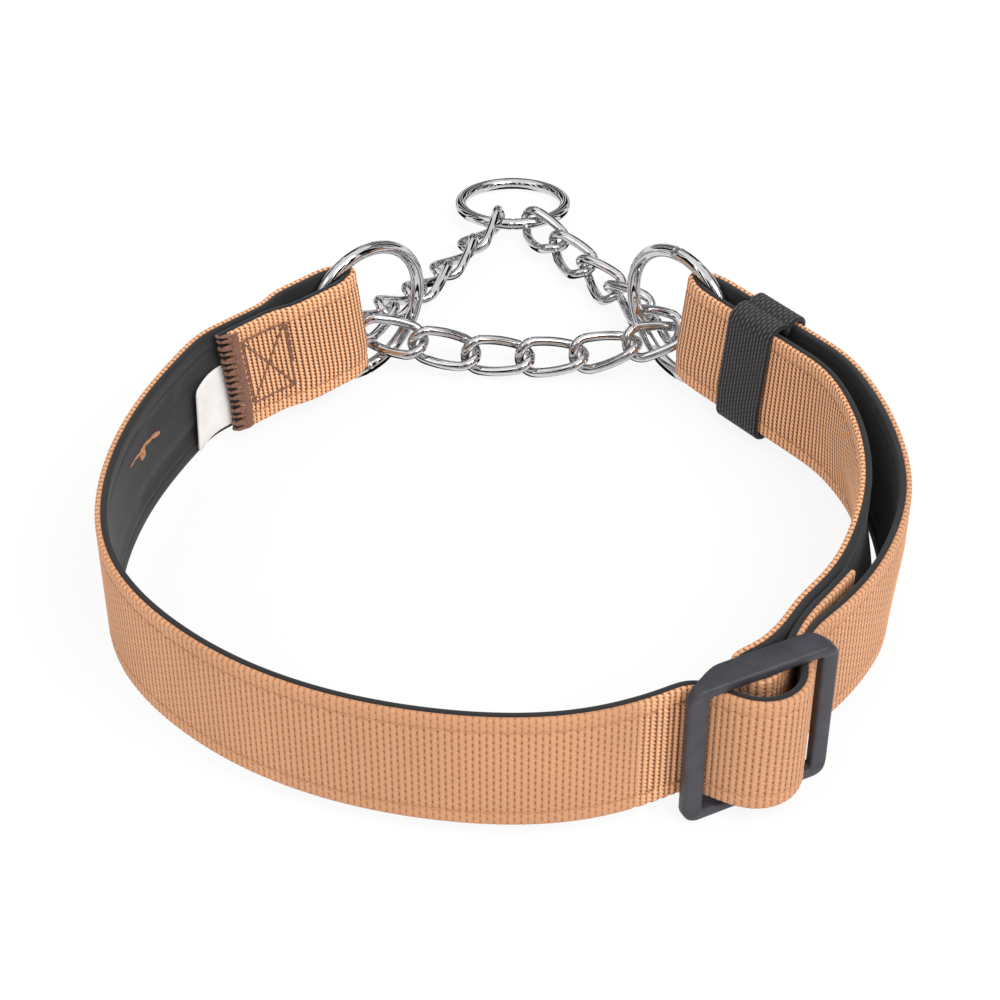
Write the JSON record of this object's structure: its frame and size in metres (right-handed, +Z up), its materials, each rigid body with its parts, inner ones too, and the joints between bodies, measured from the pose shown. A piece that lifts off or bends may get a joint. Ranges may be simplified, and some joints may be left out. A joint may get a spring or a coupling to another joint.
{
  "type": "martingale collar",
  "caption": "Martingale dog collar: lined webbing strap with slider and elastic keeper, joined by two rings and a slip chain of twisted curb links with a leash ring.",
  "frame": {"origin": "centre of the bounding box in plan, on the ground plane that the collar stands on", "axes": "+Z up; +Y from the front of the neck loop towards the leash ring; +X to the wearer's side with the slider"},
  "size_m": [0.1506, 0.2112, 0.0323],
  "materials": {
    "webbing": "tan woven nylon webbing",
    "lining": "black neoprene with a knit face",
    "label": "bare white woven label",
    "slider": "satin dark grey moulding",
    "elastic": "black ribbed elastic",
    "chrome": "bright chrome plate on steel wire"
  },
  "bodies": {
    "strap": {"webbing": "webbing", "lining": "lining", "size_label": "label"},
    "slider": {"slider": "slider"},
    "keeper": {"elastic_keeper": "elastic"},
    "left_ring": {"left_ring": "chrome"},
    "right_ring": {"right_ring": "chrome"},
    "leash_ring": {"leash_ring": "chrome"},
    "chain_left_1": {"chain_left_1": "chrome"},
    "chain_left_2": {"chain_left_2": "chrome"},
    "chain_left_3": {"chain_left_3": "chrome"},
    "chain_left_4": {"chain_left_4": "chrome"},
    "chain_left_5": {"chain_left_5": "chrome"},
    "chain_front_1": {"chain_front_1": "chrome"},
    "chain_front_2": {"chain_front_2": "chrome"},
    "chain_front_3": {"chain_front_3": "chrome"},
    "chain_front_4": {"chain_front_4": "chrome"},
    "chain_front_5": {"chain_front_5": "chrome"},
    "chain_front_6": {"chain_front_6": "chrome"},
    "chain_right_1": {"chain_right_1": "chrome"},
    "chain_right_2": {"chain_right_2": "chrome"},
    "chain_right_3": {"chain_right_3": "chrome"},
    "chain_right_4": {"chain_right_4": "chrome"},
    "chain_right_5": {"chain_right_5": "chrome"}
  },
  "joints": [
    {"name": "slider_travel", "type": "hinge", "parent": "strap", "child": "slider", "pos_m": [-0.0011, -0.03191, 0], "axis": [0, 0, 1], "range_deg": [-14, 6], "deforming": ["webbing", "lining"]},
    {"name": "keeper_slide", "type": "slide", "parent": "strap", "child": "keeper", "axis": [0.6428, -0.766, 0], "range_m": [-0.001, 0.008]},
    {"name": "left_ring_spin", "type": "hinge", "parent": "strap", "child": "left_ring", "pos_m": [-0.02971, 0.0298, 0.0162], "axis": [0.6691, -0.7431, 0], "continuous": true},
    {"name": "right_ring_spin", "type": "hinge", "parent": "strap", "child": "right_ring", "pos_m": [0.03696, 0.02803, 0.0162], "axis": [0.766, 0.6428, 0], "continuous": true},
    {"name": "chain_front_1_roll", "type": "hinge", "parent": "strap", "child": "chain_front_1", "pos_m": [-0.02985, 0.03398, 0.0085], "axis": [0.9639, -0.2225, -0.1466], "range_deg": [-2, 1]},
    {"name": "chain_front_2_roll", "type": "hinge", "parent": "strap", "child": "chain_front_2", "pos_m": [-0.01867, 0.0314, 0.0068], "axis": [0.9761, -0.1199, -0.181], "range_deg": [-4, 4]},
    {"name": "chain_front_3_roll", "type": "hinge", "parent": "strap", "child": "chain_front_3", "pos_m": [-0.00734, 0.03001, 0.0047], "axis": [0.9985, -0.0174, -0.0517], "range_deg": [-4, 4]},
    {"name": "chain_front_4_roll", "type": "hinge", "parent": "strap", "child": "chain_front_4", "pos_m": [0.00424, 0.02981, 0.0041], "axis": [0.9985, -0.0174, 0.0517], "range_deg": [-4, 4]},
    {"name": "chain_front_5_roll", "type": "hinge", "parent": "strap", "child": "chain_front_5", "pos_m": [0.01582, 0.02961, 0.0047], "axis": [0.9764, 0.0854, 0.1983], "range_deg": [-4, 4]},
    {"name": "chain_front_6_roll", "type": "hinge", "parent": "strap", "child": "chain_front_6", "pos_m": [0.02715, 0.0306, 0.007], "axis": [0.9734, 0.1892, 0.1293], "range_deg": [-2, 2]},
    {"name": "yoke_lift", "type": "hinge", "parent": "strap", "child": "chain_left_5", "pos_m": [-0.02985, 0.03398, 0.0085], "axis": [0.9998, -0.0174, 0], "range_deg": [0, 5]},
    {"name": "chain_left_4_roll", "type": "hinge", "parent": "chain_left_5", "child": "chain_left_4", "pos_m": [-0.0257, 0.04302, 0.00734], "axis": [0.5099, 0.835, -0.2069], "range_deg": [-4, 4]},
    {"name": "chain_left_3_roll", "type": "hinge", "parent": "chain_left_5", "child": "chain_left_3", "pos_m": [-0.01979, 0.05271, 0.00494], "axis": [0.5199, 0.8514, -0.069], "range_deg": [-4, 4]},
    {"name": "chain_left_2_roll", "type": "hinge", "parent": "chain_left_5", "child": "chain_left_2", "pos_m": [-0.01376, 0.06258, 0.00415], "axis": [0.5208, 0.853, 0.0345], "range_deg": [-4, 4]},
    {"name": "chain_left_1_roll", "type": "hinge", "parent": "chain_left_5", "child": "chain_left_1", "pos_m": [-0.00772, 0.07248, 0.00455], "axis": [0.5192, 0.8503, 0.0862], "range_deg": [-4, 4]},
    {"name": "chain_right_5_roll", "type": "hinge", "parent": "chain_left_5", "child": "chain_right_5", "pos_m": [0.03656, 0.0336, 0.00813], "axis": [-0.53, 0.832, -0.1638], "range_deg": [-1, 4]},
    {"name": "chain_right_4_roll", "type": "hinge", "parent": "chain_left_5", "child": "chain_right_4", "pos_m": [0.03041, 0.04325, 0.00623], "axis": [-0.5353, 0.8402, -0.0862], "range_deg": [-4, 4]},
    {"name": "chain_right_3_roll", "type": "hinge", "parent": "chain_left_5", "child": "chain_right_3", "pos_m": [0.0242, 0.053, 0.00523], "axis": [-0.5372, 0.8433, -0.0172], "range_deg": [-4, 4]},
    {"name": "chain_right_2_roll", "type": "hinge", "parent": "chain_left_5", "child": "chain_right_2", "pos_m": [0.01797, 0.06278, 0.00503], "axis": [-0.5372, 0.8433, -0.0172], "range_deg": [-4, 4]},
    {"name": "chain_right_1_roll", "type": "hinge", "parent": "chain_left_5", "child": "chain_right_1", "pos_m": [0.01174, 0.07256, 0.00483], "axis": [-0.5373, 0.8434, 0], "range_deg": [-4, 4]},
    {"name": "leash_ring_swing", "type": "hinge", "parent": "chain_left_5", "child": "leash_ring", "pos_m": [-0.00247, 0.08107, 0.00542], "axis": [0.9978, 0.0012, -0.0661], "range_deg": [0, 26]}
  ]
}
